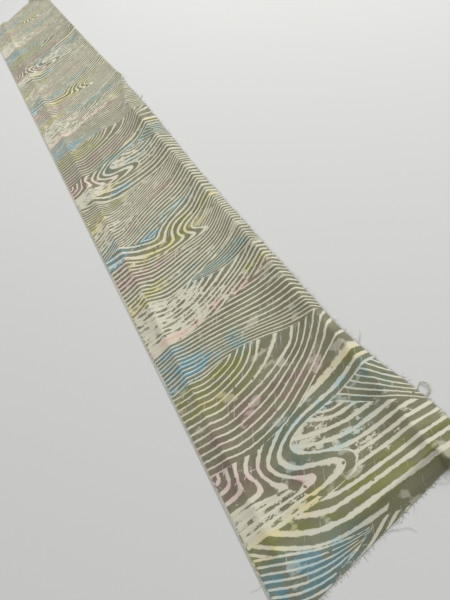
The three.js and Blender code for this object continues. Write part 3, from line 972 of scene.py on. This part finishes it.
main_blocks = [
    (PANEL_START, PANEL_END, RIDGE_END, CORNER_ROW),
    (PANEL_START, CORNER_COLUMN, CORNER_ROW, END),
    (PANEL_END, FOLD, STEP_ROW, TURN_ROW),
]
main_cloth = cloth("main_cloth", *main_blocks)
selvage_crease_blocks = [(MARGIN_INNER, CREASE, RIDGE, END), (CREASE, PANEL_START, RIDGE_END, END)]
selvage_crease_cloth = cloth("selvage_crease_cloth", *selvage_crease_blocks)
selvage_margin_blocks = [(BAND_END, MARGIN_INNER, RIDGE, END)]
selvage_margin_cloth = cloth("selvage_margin_cloth", *selvage_margin_blocks)
selvage_band_cloth = cloth("selvage_band_cloth", (0, BAND_END, RIDGE, END), material=woven_band)
cut_crease_blocks = [(PANEL_END, FOLD, RIDGE_END, STEP_ROW), (FOLD, CUT_START, RIDGE, STEP_ROW)]
cut_crease_cloth = cloth("cut_crease_cloth", *cut_crease_blocks)
cut_margin_blocks = [(CUT_START, RIGHT, RIDGE, MARGIN_ROW), (FOLD, CUT_START, STEP_ROW, MARGIN_ROW)]
cut_margin_cloth = cloth("cut_margin_cloth", *cut_margin_blocks)
lip_crease_blocks = [(CREASE, FOLD, LIP_INNER, RIDGE_END)]
lip_crease_cloth = cloth("lip_crease_cloth", *lip_crease_blocks)
near_lip_blocks = [
    (0, RIGHT, 0, LIP_INNER), (0, CREASE, LIP_INNER, RIDGE), (FOLD, RIGHT, LIP_INNER, RIDGE),
]
near_lip_cloth = cloth("near_lip_cloth", *near_lip_blocks)


def two_cloths(names, points, plan, first):
    """Two cloths from one grid of their own: first marks the cells of the first."""
    normals = unit_normals(points)
    return [
        closed_sheet(name, points, normals, plan, keep, printed)
        for name, keep in zip(names, (first, ~first))
    ]


# The far corner: the last rows of the grid, carried on over the fold into the raised flap.
FLAP_ROWS = 24
BENT_ROWS = 4


def corner_grid():
    base_points = grid_points[CORNER_ROW:, CORNER_COLUMN:FOLD + 1]
    base_plan = grid_plan[CORNER_ROW:, CORNER_COLUMN:FOLD + 1]
    edge_points, edge_plan = base_points[-1], base_plan[-1]
    tip = np.array([FAR_FOLD, far_edge(FAR_FOLD)])
    start, end = edge_plan[0], edge_plan[-1]
    along = (end - start) / np.linalg.norm(end - start)
    out = np.array([-along[1], along[0]])
    points, plans = [base_points], [base_plan]
    for k in range(1, FLAP_ROWS + 1):
        share = 0.985 * (k / FLAP_ROWS) ** 1.15
        plan = lerp(edge_plan, tip, share)
        reach = (plan - start) @ out
        bent = reach * reach / (reach + 3)
        curl = 0.0035 * reach * reach
        rise = math.sin(CORNER_LIFT) * bent - curl * 0.3
        advance = reach - bent * (1 - math.cos(CORNER_LIFT)) - curl * 0.2
        foot = plan - reach[:, None] * out
        top = foot + advance[:, None] * out
        run, edge_run = (foot - start) @ along, (edge_plan - start) @ along
        base_height = np.interp(run, edge_run, edge_points[:, 2] / MM)
        points.append(place(top[:, 0], top[:, 1], base_height + rise)[None])
        plans.append(plan[None])
    return np.concatenate(points), np.concatenate(plans)


corner_points, corner_plan = corner_grid()
fold_keep = no_cells(corner_points)
fold_keep[:len(corner_points) - FLAP_ROWS + BENT_ROWS - 1] = True
corner_fold_cloth, corner_flap_cloth = two_cloths(
    ("corner_fold_cloth", "corner_flap_cloth"), corner_points, corner_plan, fold_keep
)


# The far stretch of the right-hand margin: round the fold and back beneath the main panel.
TURN_RADIUS = 1.1
TURN_STEPS = 8
UNDER_STEPS = 11
LOWEST = 0.06              # height of the turned-under cloth's outer face


def turned_grid():
    rows = slice(TURN_ROW, CORNER_ROW + 1)
    top_points, top_plan = grid_points[rows, PANEL_END:FOLD + 1], grid_plan[rows, PANEL_END:FOLD + 1]
    s_fold, t_fold = top_plan[:, -1, 0], top_plan[:, -1, 1]
    height = top_points[:, :, 2] / MM
    upper = np.where(top_plan[:, :, 0] > s_fold[:, None] - TURN_RADIUS, 0, 1).astype(bool)
    keep_top = int(upper.all(axis=0).sum())
    # Each column: across, along, height, and the place across of the unfolded cloth.
    columns = [
        (top_plan[:, k, 0], top_plan[:, k, 1], height[:, k], top_plan[:, k, 0]) for k in range(keep_top)
    ]
    high = height[:, -1] - 0.05
    middle, radius = (high + LOWEST) / 2, (high - LOWEST) / 2
    for k in range(1, TURN_STEPS):
        angle = math.pi * (0.5 - k / TURN_STEPS)
        across = s_fold - TURN_RADIUS + TURN_RADIUS * math.cos(angle)
        unfolded = s_fold - TURN_RADIUS + 2 * TURN_RADIUS * k / TURN_STEPS
        columns.append((across, t_fold, middle + radius * math.sin(angle), unfolded))
    inner = TURNED_INNER + 1.1 * ripple(0, t_fold, 60, 9)
    for k in range(UNDER_STEPS + 1):
        share = k / UNDER_STEPS
        across = lerp(s_fold - TURN_RADIUS, inner, share)
        unfolded = s_fold + TURN_RADIUS + (s_fold - TURN_RADIUS - across)
        columns.append((across, t_fold, LOWEST + 0 * across, unfolded))
    points = np.stack([place(c[0], c[1], c[2]) for c in columns], axis=1)
    plan = np.stack([np.stack([c[3], c[1]], -1) for c in columns], axis=1)
    return points, plan, keep_top


turned_points, turned_plan, turned_top = turned_grid()
round_keep = no_cells(turned_points)
round_keep[:, :turned_top + TURN_STEPS + 3] = True
turned_fold_cloth, turned_margin_cloth = two_cloths(
    ("turned_fold_cloth", "turned_margin_cloth"), turned_points, turned_plan, round_keep
)


# ---------------------------------------------------------------- yarns

YARN_LOWEST = 0.16         # a frayed end comes no lower than this over the table
draw = np.random.default_rng(7)


def frayed(name, line, out, pitch, length, body_length=0.9):
    """Short yarn ends along a raw edge: line is a run of points in metres, out the way they point."""
    steps = np.linalg.norm(np.diff(line, axis=0), axis=1)
    run = np.concatenate([[0], np.cumsum(steps)])
    count = int(run[-1] / (pitch * MM))
    level = np.array([out[0], out[1], 0.0])
    routes = []
    for k in range(count):
        spot = run[-1] * (k + draw.random()) / count
        start = np.array([np.interp(spot, run, line[:, axis]) for axis in range(3)])
        reach = (body_length + length * draw.exponential(0.45)) * MM
        side = np.array([-out[1], out[0], 0.0]) * draw.normal(0, 0.45)
        rise = np.array([0, 0, draw.normal(0.0, 0.35)])
        aim = level + side + rise
        bow = np.array([draw.normal(0, 0.25), draw.normal(0, 0.25), draw.normal(0, 0.15)])
        u = np.linspace(-0.35, 1, 6)[:, None]
        points = start + reach * (aim * u + bow * u * np.abs(u))
        points[:, 2] = np.maximum(points[:, 2], YARN_LOWEST * MM)
        radius = draw.uniform(0.09, 0.17) * MM
        routes.append((points, radius * np.linspace(1, 0.55, 6)))
    return tubes(name, routes, raw_yarn, sides=4)


HALF_CLOTH = np.array([0, 0, 0.5 * CLOTH * MM])
lip_front = grid_points[0] - HALF_CLOTH
near_fringe = frayed("near_fringe", lip_front, (0.1, -1), 0.75, 1.5)
margin_side = grid_points[RIDGE:MARGIN_ROW + 1, RIGHT] - HALF_CLOTH
cut_fringe = frayed("cut_fringe", margin_side, (1, 0.1), 0.9, 1.5)
far_side = grid_points[END, CREASE:CORNER_COLUMN + 1] - HALF_CLOTH
far_fringe = frayed("far_fringe", far_side, (-0.25, 1), 0.9, 1.1)
flap_side = corner_points[BENT_ROWS + 4:, 0]
flap_fringe = frayed("flap_fringe", flap_side, (-0.2, 0.8), 1.0, 1.0)


def yarn(name, route, radius=0.16, frays=0):
    """A loose yarn through plan places with heights, on a smooth curve that thins to its end."""
    found = curve_through(route, 8)
    routes = []
    for strand in range(1 + frays):
        line = found
        if strand:
            line = found + draw.normal(0, 0.5, 3) * np.linspace(0.1, 1.6, len(found))[:, None]
        points = place(line[:, 0], line[:, 1], np.maximum(line[:, 2], 0.2))
        radii = radius * MM * np.linspace(1, 0.5, len(points)) * (0.6 if strand else 1)
        routes.append((points, radii))
    return tubes(name, routes, raw_yarn, sides=6)


near_curl = yarn("near_curl", [(92, 22.5, 0.4), (98, 20.2, 0.7), (103, 18, 0.5), (106, 13.5, 0.25)])
near_wisp = yarn(
    "near_wisp", [(134, 29.5, 0.5), (140, 26.2, 0.9), (145, 26.8, 1.6), (148, 28.3, 1.8)], 0.1
)
margin_spike = yarn("margin_spike", [(159, 136, 0.4), (164, 140, 1.2), (166, 143, 2.4)], 0.2, frays=3)
margin_loop = yarn(
    "margin_loop",
    [(168, 82, 0.3), (173.5, 85, 1.0), (176.5, 81, 1.4), (174.6, 76.5, 1.0), (170, 75, 0.25)],
    0.24,
    frays=5,
)
margin_tuft = yarn("margin_tuft", [(163, 646, 0.3), (168, 650, 1.6), (169.6, 656, 2.8)], 0.22, frays=6)
fold_tuft = yarn("fold_tuft", [(162, 728, 2.6), (167, 731, 2.7), (168.5, 736, 3.0)], 0.2, frays=5)
selvage_stray = yarn("selvage_stray", [(0.6, 39, 0.3), (-4, 38.2, 0.25), (-9, 39.6, 0.25)], 0.1)


# ---------------------------------------------------------------- bodies


def rides(body, slot, *pairs):
    for piece, nodes in pairs:
        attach(piece, body)
        if nodes:
            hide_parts(*nodes)


def bends(piece, nodes):
    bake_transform(piece)
    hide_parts(*nodes)


def hinge(name):
    joint = next(j for j in frame["joints"] if j["name"] == name)
    return np.array(joint["pos_m"], float), np.array(joint["axis"], float)


def across_hinge(name, towards, half):
    """Two points on either side of a hinge's line, towards being a level direction to the child."""
    spot, axis = hinge(name)
    level = np.array([axis[1], -axis[0], 0])
    level /= np.linalg.norm(level)
    if level @ np.array([*towards, 0]) < 0:
        level = -level
    return spot - level * half, spot + level * half


BEND_HALF = 0.9 * CREASE_HALF * MM
CORNER_BEND_HALF = 2.2 * MM

rides("panel", "printed_cloth", (main_cloth, ["main_panel"]))
rides("selvage_side", "printed_cloth", (selvage_margin_cloth, ["selvage_margin"]))
rides("selvage_side", "selvage_weave", (selvage_band_cloth, ["selvage_band"]))
rides("cut_side", "printed_cloth", (cut_margin_cloth, ["cut_margin"]))
rides("turned_side", "printed_cloth", (turned_margin_cloth, ["turned_under_margin"]))
rides("lip", "printed_cloth", (near_lip_cloth, ["near_lip"]))
rides("far_corner", "printed_cloth", (corner_flap_cloth, ["far_corner_flap"]))
rides("panel", "raw_yarn", (far_fringe, ["far_edge_fringe"]), (fold_tuft, ["far_fold_yarn"]))
rides("selvage_side", "raw_yarn", (selvage_stray, ["selvage_stray_yarn"]))
rides(
    "cut_side", "raw_yarn",
    (cut_fringe, ["cut_margin_fringe"]),
    (margin_spike, ["margin_spike_yarn"]),
    (margin_loop, ["margin_yarn_loop"]),
    (margin_tuft, ["margin_yarn_tuft"]),
)
rides(
    "lip", "raw_yarn",
    (near_fringe, ["near_lip_fringe"]),
    (near_curl, ["near_curl_yarn"]),
    (near_wisp, ["near_wisp_yarn"]),
)
rides("far_corner", "raw_yarn", (flap_fringe, []))

selvage_start, selvage_end = across_hinge("selvage_fold", (-1, 0), BEND_HALF)
bends(selvage_crease_cloth, ["selvage_margin"])
cut_start, cut_end = across_hinge("cut_side_fold", (1, 0), BEND_HALF)
bends(cut_crease_cloth, ["cut_margin"])
lip_start, lip_end = across_hinge("near_lip_fold", (0, -1), BEND_HALF)
bends(lip_crease_cloth, ["near_lip"])
corner_start, corner_end = across_hinge("far_corner_fold", (1, 1), CORNER_BEND_HALF)
bends(corner_fold_cloth, ["far_corner_flap"])
bends(turned_fold_cloth, ["turned_under_margin"])


# ---------------------------------------------------------------- cells of some of the sheets, worked out again and not used


cells(*main_blocks)
cells(*selvage_crease_blocks)
cells(*selvage_margin_blocks)
# The right margin is narrower than a sheet may be.
cells(*cut_crease_blocks)
cells(*lip_crease_blocks)
cells(*near_lip_blocks)


# ---------------------------------------------------------------- table and light


def plain(name, colour, roughness):
    made = Nodes(name, roughness)
    made.paint((*colour, 1.0))
    return made.material


def level_sheet(name, width, length, centre, material):
    half_w, half_l = width / 2, length / 2
    corners = [(-half_w, -half_l, 0), (half_w, -half_l, 0), (half_w, half_l, 0), (-half_w, half_l, 0)]
    mesh = bpy.data.meshes.new(name)
    mesh.from_pydata(corners, [], [(0, 1, 2, 3)])
    mesh.materials.append(material)
    found = add_object(name, mesh)
    found.location = centre
    return found


TABLE_SIDE = 14            # metres, as are all the lengths from here on
TABLE_CENTRE = (0, 3, -0.0002)
TABLE_COLOUR = (0.655, 0.655, 0.64)
TABLE_ROUGHNESS = 0.85
table = level_sheet(
    "table", TABLE_SIDE, TABLE_SIDE, TABLE_CENTRE, plain("table", TABLE_COLOUR, TABLE_ROUGHNESS)
)


def soft_light(name, spot, target, size, watts, colour):
    data = bpy.data.lights.new(name, "AREA")
    data.shape = "DISK"
    data.size = size
    data.energy = watts
    data.color = colour
    lamp = add_object(name, data)
    lamp.location = spot
    lamp.rotation_euler = (Vector(target) - Vector(spot)).to_track_quat("-Z", "Y").to_euler()


# Name, place, what it points at, diameter, watts, colour.
LIGHTS = [
    ("window", (1.35, 0.4, 1.35), (0.1, 0.0, 0), 1.6, 35.5, (1.0, 0.995, 0.975)),
    ("fill", (-1.2, 1.2, 2.4), (0, 0, 0), 2.6, 22, (0.98, 0.985, 1.0)),
]
for light in LIGHTS:
    soft_light(*light)

ROOM_COLOUR = (0.97, 0.98, 1.0, 1.0)
ROOM_STRENGTH = 0.35

world = bpy.data.worlds.new("room")
world.use_nodes = True
background = world.node_tree.nodes["Background"]
background.inputs["Color"].default_value = ROOM_COLOUR
background.inputs["Strength"].default_value = ROOM_STRENGTH
bpy.context.scene.world = world
bpy.context.scene.view_settings.view_transform = "Standard"
